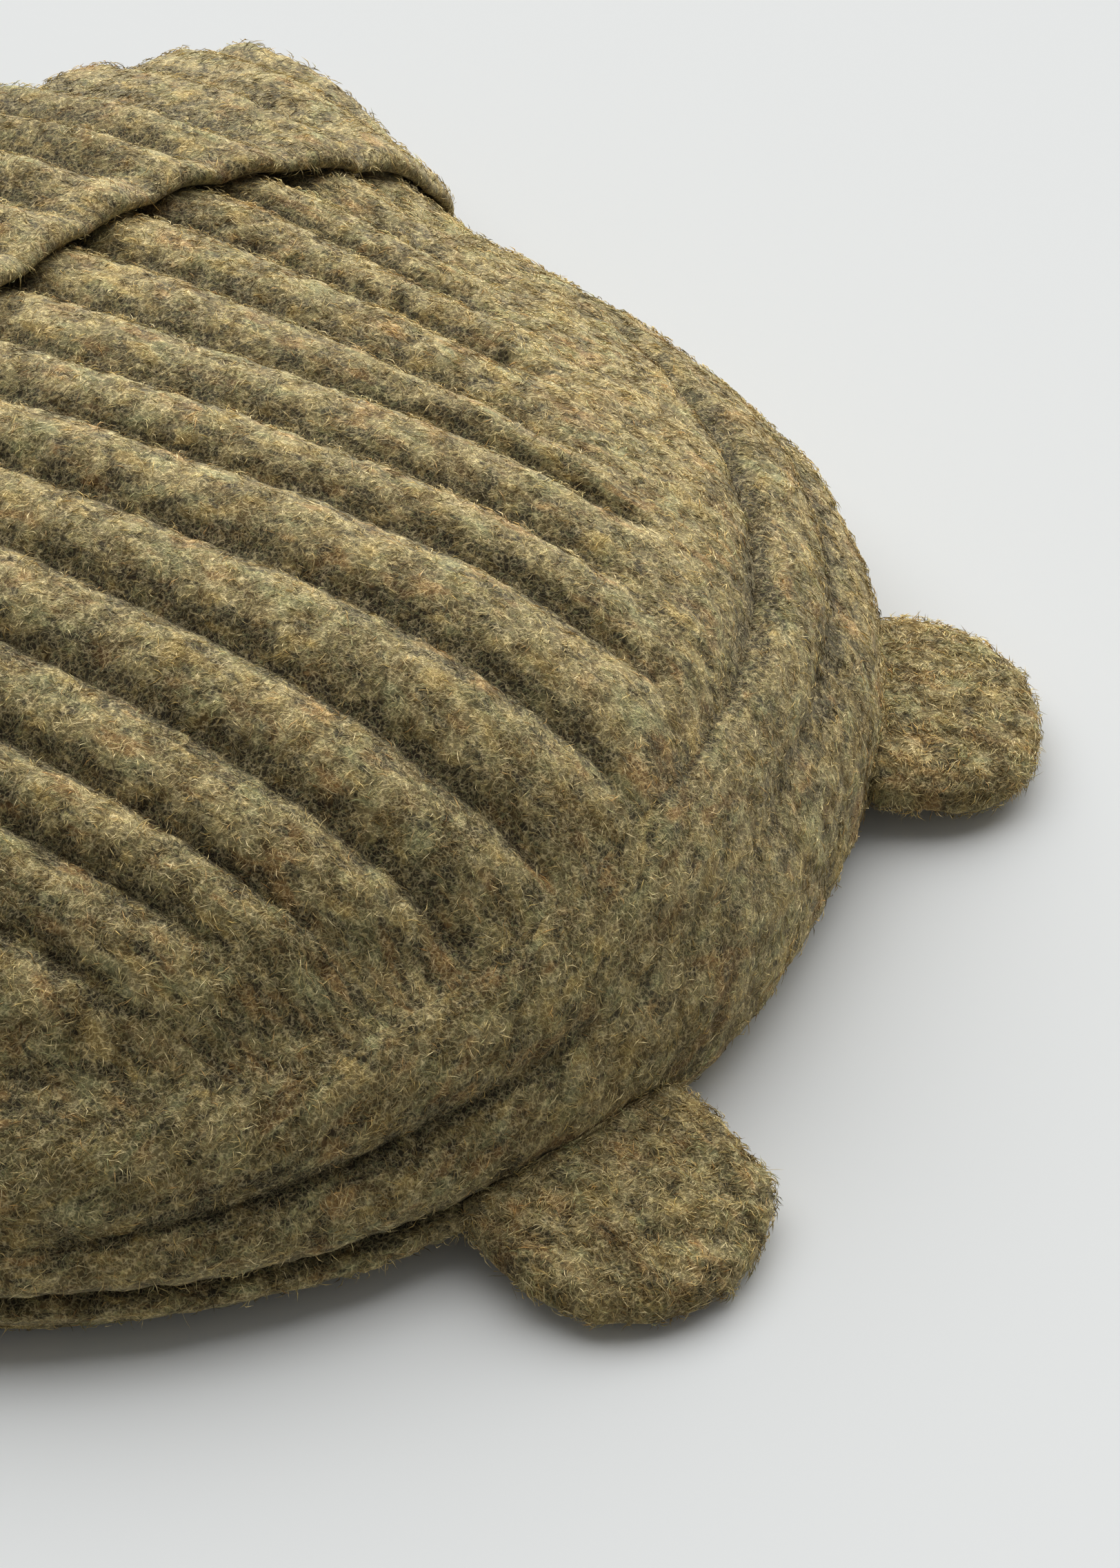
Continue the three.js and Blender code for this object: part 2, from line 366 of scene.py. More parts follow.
def makeActive(*pieces):
    deselectAll()
    for o in pieces:
        o.select_set(True)
    bpy.context.view_layer.objects.active = pieces[0]


def readPoints(me, what="co"):
    values = np.zeros(len(me.vertices) * 3)
    me.vertices.foreach_get(what, values)
    return values.reshape(-1, 3)


def readFloats(me, name):
    values = np.zeros(len(me.vertices), np.float32)
    me.attributes[name].data.foreach_get("value", values)
    return values


def writePoints(me, co):
    me.vertices.foreach_set("co", co.ravel())
    me.update()


def writeFloats(me, name, values):
    me.attributes.new(name, "FLOAT", "POINT").data.foreach_set("value", values.astype(np.float32))


# Each vertex's place in the wool's pattern
def writePattern(me, uv):
    corner = np.zeros(len(me.loops), int)
    me.loops.foreach_get("vertex_index", corner)
    me.uv_layers[0].name = "woolUv"
    me.uv_layers["woolUv"].uv.foreach_set("vector", uv[corner].astype(np.float32).ravel())


# A flat grid moved to the given points, with its depth of groove and its place in the wool's pattern
def layGrid(name, points, groove, u, v, flip):
    columns, rows = points.shape[0] - 1, points.shape[1] - 1
    deselectAll()
    bpy.ops.mesh.primitive_grid_add(x_subdivisions=columns, y_subdivisions=rows, size=1)
    grid = bpy.context.object
    grid.name = name
    me = grid.data
    co = readPoints(me)
    i = np.rint((co[:, 0] + 0.5) * columns).astype(int)
    j = np.rint((co[:, 1] + 0.5) * rows).astype(int)
    writeFloats(me, "groove", groove[i, j])
    writePattern(me, np.stack([u[i, j], v[i, j]], 1))
    if flip:
        me.flip_normals()
    writePoints(me, place(points[i, j]))
    return grid


# One mesh of several, welded where their edges meet
def joined(name, parts, weld=2e-6):
    makeActive(*parts)
    bpy.ops.object.join()
    whole = bpy.context.object
    whole.name = name
    whole.data.name = name
    bpy.ops.object.mode_set(mode="EDIT")
    bpy.ops.mesh.select_all(action="SELECT")
    bpy.ops.mesh.remove_doubles(threshold=weld)
    bpy.ops.object.mode_set(mode="OBJECT")
    return whole


# x of the panel's rib line k (0 to panelRibs) at y
def ribLineX(k, y):
    lines = np.arange(panelRibs + 1)
    table = np.array(panelGrooves)
    atCuff = np.interp(k, lines, table[:, 0])
    atEnd = np.interp(k, lines, table[:, 1])
    endY = np.interp(k, lines, table[:, 2])
    bend = ramp(y, bendStart, endY - bendStart)
    inner = atCuff + (atEnd - atCuff) * bend
    side = np.sign(k - panelRibs / 2)
    edgeX = side * archHalfWidth(0, np.minimum(y, hat["shoulderPlace"]), side)
    nearEdge = np.clip(np.minimum(k, panelRibs - k), 0, 1)
    return edgeX + (inner - edgeX) * nearEdge


# How far out each rib place (0 panel edge, 1 ridge, 2 fold) lies along the arches' way
def bandQ(ribPlace, way):
    ridge = np.interp(way, archDepths["way"], archDepths["ridgePlace"])
    outer = 1 - (2 - np.maximum(ribPlace, 1)) ** 2
    return np.where(ribPlace <= 1, ridge * ribPlace, ridge + (2 - ridge) * outer)


# The panel's columns run from the brim to the panel's edge: x, y, rib place and depth of groove on a grid
def panelGrid(perRib, rowCount, underRows):
    columns = np.arange(panelRibs * perRib + 1) / perRib
    fineFrom = cuff["height"] - cuff["bodyOverlap"]
    under = np.linspace(startY, fineFrom, underRows, endpoint=False)
    shares = np.linspace(0, 1, rowCount - underRows + 1)
    ends = archEnd(0, ribLineX(columns, np.full_like(columns, hat["length"])))
    ends[[0, -1]] = hat["shoulderPlace"]
    fine = fineFrom + (ends[:, None] - fineFrom) * shares
    y = np.concatenate([np.tile(under, (len(columns), 1)), fine], 1)
    k = np.repeat(columns[:, None], y.shape[1], 1)
    x = ribLineX(k, y)
    grooveEnd = np.interp(k, np.arange(panelRibs + 1), np.array(panelGrooves)[:, 2])
    fade = smooth((grooveEnd - y) / grooveFade + 0.5)
    atSide = (k < 0.5) | (k > panelRibs - 0.5)
    strength = np.where(atSide, archGroove("panelEdge", np.sign(x)), fade)
    alongRibs = grooveShape(k - np.rint(k)) * strength
    toEdge = np.clip((archEnd(0, x) - y) / hat["ribPitch"], 0, 0.5)
    edgeDepth = archGroove("panelEdge", x / arches["halfWidth"][0])
    alongEdge = grooveShape(toEdge, hat["edgeSharpness"]) * edgeDepth
    return x, y, k, np.maximum(alongRibs, alongEdge)


# The band follows the outline and joins the panel's edge to the side fold
def bandGrid(panelX, panelY, panelGroove, height, bandSteps):
    pathX, pathY, pathGroove = [
        np.concatenate([grid[0], grid[1:-1, -1], grid[-1][::-1]]) for grid in (panelX, panelY, panelGroove)
    ]
    half, length, power = archAt(0, pathX)
    angle = np.arctan2(lengthShare(length, pathY) ** (power / 2), pathX / half)[:, None]
    cosine, sine = np.cos(angle), np.maximum(np.sin(angle), 0)
    s = np.arange(bandSteps + 1) / bandSteps
    ribPlace = np.concatenate([s, 1 + s[1:]])
    half, length, power = archAt(bandQ(ribPlace[None, :], cosine), pathX[:, None])
    x = half * cosine
    y = startY + (length - startY) * sine ** (2 / power)
    z = height(x, y)
    z[:, -1] = foldZ(y[:, -1])
    x[:, 0], y[:, 0], z[:, 0] = pathX, pathY, height(pathX, pathY)
    depths = np.stack([archGroove(name, cosine[:, 0]) for name in ("panelEdge", "ridge", "fold")], 1)
    depths[:, 0] = pathGroove
    nearest = np.rint(ribPlace).astype(int)
    groove = grooveShape(ribPlace - nearest)[None, :] * depths[:, nearest]
    steps = np.hypot(np.diff(x[:, -1]), np.diff(y[:, -1]))
    along = np.concatenate([[0], np.cumsum(steps)])
    u = np.repeat(ribPlace[None, :] * hat["ribPitch"] + patternStart["band"], len(along), 0)
    v = np.repeat(along[:, None], len(ribPlace), 1)
    return np.stack([x, y, z], -1), groove, u, v


# Raises the cloth along the near fold, and on the front lays the valley inside the panel's edge and paints
# shade into it
def shapeNearSide(points, groove, front):
    x, y = points[..., 0], points[..., 1]
    near = ramp(x, *nearFold["xRamp"]) * ramp(y, *nearFold["yRamp"])
    close = hump(points[..., 2], hat["foldHeight"], nearFold["reach"])
    points[..., 2] += nearFold["rise"] * near * close
    if front:
        arch = lengthShare(arches["length"][0], y) ** arches["left"][0]
        out = np.sqrt((x / arches["halfWidth"][0]) ** 2 + arch)
        valley = hump(out, nearValley["place"], nearValley["width"])
        valley *= ramp(x, *nearValley["xRamp"]) * ramp(y, *nearValley["yRamp"])
        points[..., 2] -= nearValley["depth"] * valley
        # painted shade in the valley, carried by the groove value
        groove += nearValley["shade"] * valley


# One skin of the body: a panel and a band on the front, and the same on the back
def makeSkin(name, perRib, rowCount, underRows, bandSteps):
    parts = []
    for front, height in ((True, frontZ), (False, backZ)):
        x, y, k, groove = panelGrid(perRib, rowCount, underRows)
        band, bandGroove, bandU, bandV = bandGrid(x, y, groove, height, bandSteps)
        panel = np.stack([x, y, height(x, y)], -1)
        panelU = k * hat["width"] / hat["ribsAcross"]
        for points, depth, u, v in ((panel, groove, panelU, y), (band, bandGroove, bandU, bandV)):
            shapeNearSide(points, depth, front)
            parts.append(layGrid(name, points, depth, u, v, not front))
    return joined(name, parts)


def addLumps(piece, size, depth, name):
    texture = bpy.data.textures.new(name, "CLOUDS")
    texture.noise_scale = size * mm
    texture.noise_depth = 1
    makeActive(piece)
    lumps = piece.modifiers.new(name, "DISPLACE")
    lumps.texture = texture
    lumps.texture_coords = "LOCAL"
    lumps.mid_level = 0.5
    lumps.strength = depth * mm
    bpy.ops.object.modifier_apply(modifier=lumps.name)


# Soft random values from 0 to 1 in space, in clumps of the given size
def clumps(points, size, seed):
    rng = np.random.default_rng(seed)
    cells = rng.uniform(0, 1, (48, 48, 48))
    turned = points @ np.linalg.qr(rng.normal(size=(3, 3)))[0] / (size * mm)
    low = np.floor(turned).astype(int)
    part = smooth(turned - low)
    total = np.zeros(len(points))
    for corner in np.ndindex(2, 2, 2):
        weight = np.abs(1 - np.array(corner) - part).prod(1)
        total += weight * cells[tuple(((low + corner) % 48).T)]
    return total


# The tufts' height goes into the shape, and as an attribute into the colour, where it paints shade between
# the tufts and light on them
def addTufts(piece, mask):
    me = piece.data
    co, normals = readPoints(me), readPoints(me, "normal")
    coarse = clumps(co, tufts["size"], tufts["seeds"][0])
    fine = clumps(co, tufts["fineSize"], tufts["seeds"][1])
    tuft = ramp((coarse + tufts["fineShare"] * fine) / (1 + tufts["fineShare"]), *tufts["ramp"])
    writeFloats(me, "tuft", tuft)
    writePoints(me, co + normals * ((tuft - 0.5) * tufts["depth"] * mask * mm)[:, None])


def keepOffTable(piece):
    co = readPoints(piece.data)
    co[:, 2] = np.maximum(co[:, 2], 0)
    writePoints(piece.data, co)


def openEdges(me):
    corners = np.zeros(len(me.loops), int)
    me.loops.foreach_get("edge_index", corners)
    return int((np.bincount(corners, minlength=len(me.edges)) != 2).sum())


# Moves a skin inwards by a depth for each vertex, level at the brim
def pushIn(me, depth):
    normals, co = readPoints(me, "normal"), readPoints(me)
    atBrim = co[:, 1] < (brimPlace + startY + 0.01) * mm
    normals[atBrim, 1] = 0
    writePoints(me, co - unit(normals) * depth[:, None])


# The hollow body: an outer skin with its grooves, a plainer inner one, and the cut edge between them
def makeCrown():
    outer = makeSkin("knit_body", perRib=12, rowCount=124, underRows=10, bandSteps=12)
    pushIn(outer.data, readFloats(outer.data, "groove") * hat["ribDepth"] * mm)
    print("body: outer skin,", len(outer.data.vertices), "vertices")

    inner = makeSkin("inner_skin", perRib=4, rowCount=44, underRows=3, bandSteps=4)
    depth = hat["wall"] + hat["innerGroove"] * readFloats(inner.data, "groove")
    pushIn(inner.data, depth.astype(float) * mm)
    inner.data.flip_normals()
    inner.data.update()

    body = joined("knit_body", [outer, inner], weld=1e-7)
    bpy.ops.object.mode_set(mode="EDIT")
    bpy.ops.mesh.select_mode(type="EDGE")
    bpy.ops.mesh.select_all(action="DESELECT")
    bpy.ops.mesh.select_non_manifold(extend=False, use_boundary=True, use_wire=False,
                                     use_multi_face=False, use_non_contiguous=False, use_verts=False)
    bpy.ops.mesh.bridge_edge_loops()
    bpy.ops.mesh.select_all(action="SELECT")
    bpy.ops.mesh.normals_make_consistent(inside=False)
    bpy.ops.object.mode_set(mode="OBJECT")
    addLumps(body, hat["lumpSize"], hat["lumpDepth"], "softLumps")
    co = readPoints(body.data) / mm
    edge = np.interp(co[:, 0], *np.array(cuffEdge).T[:2])
    addTufts(body, ramp(co[:, 1] - brimPlace - edge, -tufts["cuffFade"], tufts["cuffFade"]))
    keepOffTable(body)
    bpy.ops.object.shade_smooth()
    print("body: closed, open edges", openEdges(body.data))
    return body


# Stations once round the body: across the front from the far side, then back under it. Each has its rib
# line, its place from the panel's edge (0) to the fold (2), and how far it is from its nearest groove
def ringStations(perRib, bandSteps):
    s = np.arange(bandSteps) / bandSteps
    outwards = np.concatenate([s, 1 + s])
    inwards = [2.0, *outwards[:0:-1]]
    stations = []

    def addBand(isFront, line, way, ribPlaces):
        for ribPlace in ribPlaces:
            stations.append((isFront, line, float(bandQ(ribPlace, way)), ribPlace - round(ribPlace)))

    for isFront in (True, False):
        first, last = (0, panelRibs) if isFront else (panelRibs, 0)
        way = -1 if isFront else 1
        addBand(isFront, first, way, inwards)
        for k in np.arange(panelRibs * perRib) / perRib:
            k = k if isFront else panelRibs - k
            stations.append((isFront, k, 0.0, k - round(k)))
        addBand(isFront, last, -way, outwards)
    front, k, q, away = np.array(stations, float).T
    return front > 0, k, q, away


def ringPoints(stations, y):
    front, k, q, _ = stations
    y = np.broadcast_to(y, k.shape)
    side = np.where(k < panelRibs / 2, -1, 1)
    x = np.where(q > 0, side * archHalfWidth(q, y, side), ribLineX(k, y))
    z = np.where(front, frontZ(x, y), backZ(x, y))
    z = np.where(q == 2, foldZ(y), z)
    return np.stack([x, y, z], 1)


# The cuff's section: y as a fixed part and a share of the edge's height, distance out from the body, how much
# that stands out at the sides, and how much of the ribs show there
def cuffSection(rollSteps=12, outerSteps=33, edgeSteps=10, innerSteps=6):
    layer = hat["seamGap"] + cuff["wall"]
    edge = cuff["wall"] / 2
    rows = []
    for turn in np.linspace(0, math.pi, rollSteps + 1):
        outward = (1 - math.cos(turn)) / 2
        out = (hat["wall"] + layer) * outward - hat["wall"]
        rows.append((rollRadius * (1 - math.sin(turn)), 0, out, outward, math.sin(turn / 2)))
    for share in np.linspace(0, 1, outerSteps + 1)[1:]:
        rows.append((rollRadius - share * (rollRadius + edge), share, layer, 1, 1))
    for turn in np.linspace(0, math.pi, edgeSteps + 1)[1:]:
        out = hat["seamGap"] + edge + edge * math.cos(turn)
        ribs = max(math.cos(turn / 2), 0) ** cuff["edgeRoundness"]
        rows.append((edge * (math.sin(turn) - 1), 1, out, 1, ribs))
    for share in np.linspace(1, 0, innerSteps + 1)[1:]:
        rows.append((rollRadius - share * (rollRadius + edge), share, hat["seamGap"], 1, 0))
    return rows


# The body's outward directions at each station, level and a little evened out
def ringNormals(stations, y):
    points = ringPoints(stations, y)
    around = np.roll(points, -1, 0) - np.roll(points, 1, 0)
    along = ringPoints(stations, y + 1) - points
    normal = np.cross(around, along)
    normal[:, 1] = 0
    normal = unit(normal)
    for _ in range(2):
        normal = (np.roll(normal, 1, 0) + 2 * normal + np.roll(normal, -1, 0)) / 4
    return unit(normal)


# The height of the cuff's free edge at each station, and how it waves
def cuffEdgeLine(stations):
    tableX, frontY, backY = np.array(cuffEdge, float).T
    x = ringPoints(stations, cuff["height"])[:, 0]
    edgeY = np.where(stations[0], np.interp(x, tableX, frontY), np.interp(x, tableX, backY))
    phases = np.random.default_rng(cuff["waveSeed"]).uniform(0, 6.28, cuff["waveCount"])
    turn = np.arange(len(x)) / len(x) * 2 * math.pi
    wave = sum(np.sin(turn * (3 + 2 * n) + phase) / (1 + 0.5 * n) for n, phase in enumerate(phases)) / 2
    return edgeY, wave


# A closed grid repeats its first ring and its first row at the end
def closeGrid(values):
    values = np.concatenate([values, values[:1]])
    return np.concatenate([values, values[:, :1]], 1)


# The cloth rolled back over the body at the brim, one closed band
def makeCuff():
    stations = ringStations(perRib=10, bandSteps=9)
    sideShare = np.abs(ringNormals(stations, rollRadius)[:, 0])
    edgeY, wave = cuffEdgeLine(stations)
    shape = grooveShape(stations[3], cuff["grooveSharpness"])
    section = cuffSection()
    rings = np.zeros((len(edgeY), len(section), 3))
    groove = np.zeros((len(edgeY), len(section)))
    for n, (fixed, share, out, flare, ribs) in enumerate(section):
        level = fixed + share * edgeY
        groove[:, n] = shape * (ribs * (1 - (1 - cuff["edgeRibs"]) * ramp(share, *cuff["edgeRibRamp"])))
        points = ringPoints(stations, level)
        farSide = sideShare * ramp(-points[:, 0], *cuff["pressRamp"])
        thinner = np.maximum(cuff["taper"], cuff["press"] * farSide)
        thin = 1 - thinner * ramp(level, *cuff["taperRamp"])
        stand = np.where(out > hat["seamGap"], hat["seamGap"] + (out - hat["seamGap"]) * thin, out)
        flareShare = hump(level, cuff["flarePlace"], cuff["flareRun"])
        stand = stand + flare * cuff["flare"] * sideShare * flareShare
        points += ringNormals(stations, level) * (stand - cuff["ribDepth"] * groove[:, n])[:, None]
        points[:, 1] += share * (cuff["edgeWave"] * wave - cuff["edgeDraw"] * shape)
        points[:, 2] = np.maximum(points[:, 2], 0)
        rings[:, n] = points
    rings, groove = closeGrid(rings), closeGrid(groove * cuff["grooveShadeGain"])

    outerRow = 20
    around = np.hypot(*np.diff(rings[:, outerRow, [0, 2]], axis=0).T)
    down = np.linalg.norm(np.diff(rings[0], axis=0), axis=1)
    around, down = [np.concatenate([[0], np.cumsum(steps)]) for steps in (around, down)]
    u = np.repeat(around[:, None], rings.shape[1], 1) + patternStart["cuff"]
    v = np.repeat(down[None, :], rings.shape[0], 0)
    band = joined("rolled_cuff", [layGrid("rolled_cuff", rings, groove, u, v, False)])
    addLumps(band, hat["lumpSize"], cuff["lumpDepth"], "cuffLumps")
    co, normals = readPoints(band.data), readPoints(band.data, "normal")
    outward = normals[:, 0] * co[:, 0] + normals[:, 2] * (co[:, 2] - cuff["middleHeight"] * mm)
    addTufts(band, smooth(outward / (cuff["tuftFade"] * mm)))
    keepOffTable(band)
    bpy.ops.object.shade_smooth()
    print("cuff: open edges", openEdges(band.data))
    return band


# Moves a pad's points outwards until the crown lies behind them
def pushOffCrown(points, outward, crownTree):
    back, reach, step = [length * mm for length in ears["search"]]
    for i, p in enumerate(points):
        hit = crownTree.ray_cast(Vector(p) - outward * back, outward, reach)
        while hit[0] is not None:
            least = hit[0] + outward * (ears["clearance"] * mm)
            if (Vector(p) - least).dot(outward) < 0:
                p = least
            hit = crownTree.ray_cast(hit[0] + outward * step, outward, reach)
        points[i] = p


# One flat pad, rounded at its rim, whose root lies against the crown's fold
def makeEar(name, share, seat, padWidth, reach, crownTree):
    deselectAll()
    bpy.ops.mesh.primitive_uv_sphere_add(segments=96, ring_count=48, radius=1)
    ear = bpy.context.object
    ear.name = name + "_pad"
    ear.data.name = ear.name
    me = ear.data
    co = readPoints(me)
    flat = np.maximum(np.hypot(co[:, 0], co[:, 1]), 1e-9)
    square = ears["squareness"]
    bulge = (np.abs(co[:, 0] / flat) ** square + np.abs(co[:, 1] / flat) ** square + 1e-9) ** (-1 / square)
    local = np.stack([
        co[:, 0] * bulge * padWidth / 2,
        np.maximum(co[:, 1] * bulge * reach, -ears["root"] - seat) + seat,
        np.sign(co[:, 2]) * np.abs(co[:, 2]) ** ears["fullness"] * ears["thickness"] / 2,
    ], 1)

    # the pad turns to face away from the outline, then droops
    x = share * halfWidth
    y = float(archEnd(2, np.array(x)))
    power = arches["left"][2]
    slopeX = 2 * x / halfWidth**2
    slopeY = power * float(lengthShare(hat["length"], y)) ** (power - 1) / (hat["length"] - startY)
    turn = -math.atan2(slopeX, slopeY)
    tip = -math.radians(ears["droop"])
    tilted = local.copy()
    tilted[:, 1] = local[:, 1] * math.cos(tip) - local[:, 2] * math.sin(tip)
    tilted[:, 2] = local[:, 1] * math.sin(tip) + local[:, 2] * math.cos(tip)
    pad = tilted.copy()
    pad[:, 0] = tilted[:, 0] * math.cos(turn) - tilted[:, 1] * math.sin(turn) + x
    pad[:, 1] = tilted[:, 0] * math.sin(turn) + tilted[:, 1] * math.cos(turn) + y
    pad[:, 2] += hat["foldHeight"] - ears["sink"] * ears["thickness"]
    pad = place(pad)
    pushOffCrown(pad, Vector((-math.sin(turn), math.cos(turn), 0)), crownTree)
    pad[:, 2] = np.maximum(pad[:, 2], 0)

    writePattern(me, local[:, :2] + patternStart["ear"])
    writeFloats(me, "groove", np.zeros(len(pad)))
    writePoints(me, pad)
    addLumps(ear, ears["lumpSize"], ears["lumpDepth"], name + "Lumps")
    addTufts(ear, ramp(local[:, 1], *ears["tuftRamp"]))
    keepOffTable(ear)
    bpy.ops.object.shade_smooth()
    print(name, "open edges", openEdges(ear.data))
    return ear


# The wool's colours, how much of each the heather holds, and the painted shade and light on it
wool = {
    "tan": (0.55, 0.42, 0.18),
    "olive": (0.30, 0.24, 0.09),
    "pale": (0.78, 0.64, 0.35),
    "rust": (0.50, 0.25, 0.07),
    "ochre": (0.62, 0.41, 0.11),
    "greyGreen": (0.34, 0.36, 0.165),
    "charcoal": (0.038, 0.030, 0.013),
    "patchSize": 9.0,
    "patchRange": (0.3, 0.7),
    # the noises on the wool's pattern: size, a shift, and whether it is drawn out along the ribs
    "noises": {"mottle": (0.8, 0, False), "warm": (3.0, 0, True), "cool": (3.2, 70, True)},
    # the colours they bring, in their order: from where to where on the noise, how much, and which
    "heather": [
        ("mottle", 0.5, 0.72, 0.6, "pale"),
        ("mottle", 0.48, 0.28, 0.45, "olive"),
        ("warm", 0.53, 0.66, 0.75, "rust"),
        ("warm", 0.47, 0.34, 0.7, "ochre"),
        ("cool", 0.52, 0.66, 0.6, "greyGreen"),
    ],
    "streak": 0.45,
    # each fibre of the nap has a colour of its own too, from the first place up to the next
    "fibreColours": [
        (0.0, "charcoal"),
        (0.07, "olive"),
        (0.3, "tan"),
        (0.62, "pale"),
        (0.8, "ochre"),
        (0.87, "rust"),
        (0.92, "greyGreen"),
    ],
    "fibreShare": 0.6,
    "fleckSize": 1.5,
    "fleckShift": 150,
    "fleckRange": (0.545, 0.64),
    "fleckShare": 0.85,
    "grooveFlecks": 0.19,
    # painted shade in the grooves, which comes in over the groove depths of the range below
    "grooveShade": (0.56, 0.5, 0.38),
    "grooveRange": (0.25, 1.0),
    "paintedTuftShade": (0.42, 0.365, 0.26),  # painted shade between the tufts, warmer and darker; the next is painted light on the tufts
    "paintedTuftLight": (1.2, 1.22, 1.26),
    "tuftRange": (0.05, 0.85),
    # painted shade on the bed between the painted curls
    "bedShade": (0.32, 0.32, 0.32),
    # the painted curls: their size, a shift, their colour and how much of it shows
    "curls": [
        (1.0, 11, "olive", 0.75),
        (0.8, 37, "tan", 0.8),
        (0.65, 59, "greyGreen", 0.65),
        (0.85, 83, "pale", 0.8),
    ],
    "curlWidth": 0.045,
    "curlTint": 0.45,
    "bumpSize": 0.5,
    "bumpStrength": 0.8,
    "bumpDepth": 0.25,
    "roughness": 0.95,
    "specular": 0.2,
    "sheen": 0.25,
    "sheenRoughness": 0.6,
    "sheenTint": (0.85, 0.72, 0.48),
}


def addNode(tree, kind, **settings):
    node = tree.nodes.new(kind)
    for key, value in settings.items():
        setattr(node, key, value)
    return node


# Gives a socket another node's output, a colour or a value
def feed(tree, socket, value):
    if hasattr(value, "is_linked"):
        tree.links.new(value, socket)
    elif isinstance(value, tuple):
        socket.default_value = (*value, 1)
    else:
        socket.default_value = value


def attributeOn(tree, name):
    return addNode(tree, "ShaderNodeAttribute", attribute_name=name).outputs["Fac"]


def noiseOn(tree, vector, size, detail=2.0, rough=0.55):
    noise = addNode(tree, "ShaderNodeTexNoise")
    noise.inputs["Scale"].default_value = 1 / size
    noise.inputs["Detail"].default_value = detail
    noise.inputs["Roughness"].default_value = rough
    tree.links.new(vector, noise.inputs["Vector"])
    return noise.outputs["Fac"]


def rampOn(tree, value, low, high):
    node = addNode(tree, "ShaderNodeMapRange", interpolation_type="SMOOTHSTEP")
    node.inputs["From Min"].default_value = low
    node.inputs["From Max"].default_value = high
    tree.links.new(value, node.inputs["Value"])
    return node.outputs["Result"]


def mixOn(tree, share, first, second, blend="MIX"):
    mix = addNode(tree, "ShaderNodeMix", data_type="RGBA", blend_type=blend)
    feed(tree, mix.inputs[0], share)
    feed(tree, mix.inputs[6], first)
    feed(tree, mix.inputs[7], second)
    return mix.outputs[2]


def mathOn(tree, operation, *values):
    node = addNode(tree, "ShaderNodeMath", operation=operation)
    for socket, value in zip(node.inputs, values):
        feed(tree, socket, value)
    return node.outputs[0]


def mapOn(tree, vector, socket, value):
    node = addNode(tree, "ShaderNodeMapping")
    node.inputs[socket].default_value = value
    tree.links.new(vector, node.inputs["Vector"])
    return node.outputs["Vector"]


def shiftOn(tree, vector, amount):
    return mapOn(tree, vector, "Location", (amount, amount, 0))


# Thin curly lines, where a noise crosses its middle value
def curlOn(tree, vector, size):
    wave = noiseOn(tree, vector, size, detail=1.5, rough=0.5)
    away = mathOn(tree, "ABSOLUTE", mathOn(tree, "SUBTRACT", wave, 0.5))
    return rampOn(tree, away, wool["curlWidth"], 0.0)


# Patches, the heather, each fibre's own colour, dark flecks, painted shade and light on the tufts, and
# painted shade in the grooves
def heatherOn(tree, uv, objectPlace, forNap):
    streaked = mapOn(tree, uv, "Scale", (1, wool["streak"], 1))
    groove = attributeOn(tree, "groove")
    patches = rampOn(tree, noiseOn(tree, objectPlace, wool["patchSize"] * mm), *wool["patchRange"])
    colour = mixOn(tree, patches, wool["olive"], wool["tan"])
    noises = {}
    for name, (size, shift, isStreaked) in wool["noises"].items():
        vector = streaked if isStreaked else uv
        noises[name] = noiseOn(tree, shiftOn(tree, vector, shift) if shift else vector, size)
    for name, low, high, amount, tint in wool["heather"]:
        share = mathOn(tree, "MULTIPLY", rampOn(tree, noises[name], low, high), amount)
        colour = mixOn(tree, share, colour, wool[tint])
    if forNap:
        own = addNode(tree, "ShaderNodeValToRGB")
        own.color_ramp.interpolation = "CONSTANT"
        stops = own.color_ramp.elements
        stops[1].position = wool["fibreColours"][1][0]
        while len(stops) < len(wool["fibreColours"]):
            stops.new(wool["fibreColours"][len(stops)][0])
        for stop, (_, tint) in zip(stops, wool["fibreColours"]):
            stop.color = (*wool[tint], 1)
        tree.links.new(attributeOn(tree, "strand"), own.inputs["Fac"])
        colour = mixOn(tree, wool["fibreShare"], colour, own.outputs["Color"])
    shifted = shiftOn(tree, streaked, wool["fleckShift"])
    flecks = noiseOn(tree, shifted, wool["fleckSize"], detail=3, rough=0.65)
    flecks = mathOn(tree, "MULTIPLY_ADD", groove, wool["grooveFlecks"], flecks)
    share = mathOn(tree, "MULTIPLY", rampOn(tree, flecks, *wool["fleckRange"]), wool["fleckShare"])
    colour = mixOn(tree, share, colour, wool["charcoal"])
    # painted shade between the tufts and painted light on their tops, by each tuft's height
    tuft = rampOn(tree, attributeOn(tree, "tuft"), *wool["tuftRange"])
    colour = mixOn(tree, 1.0, colour, mixOn(tree, tuft, wool["paintedTuftShade"], wool["paintedTuftLight"]), "MULTIPLY")
    # painted shade in the grooves
    shaded = mixOn(tree, 1.0, colour, wool["grooveShade"], "MULTIPLY")
    return mixOn(tree, rampOn(tree, groove, *wool["grooveRange"]), colour, shaded)


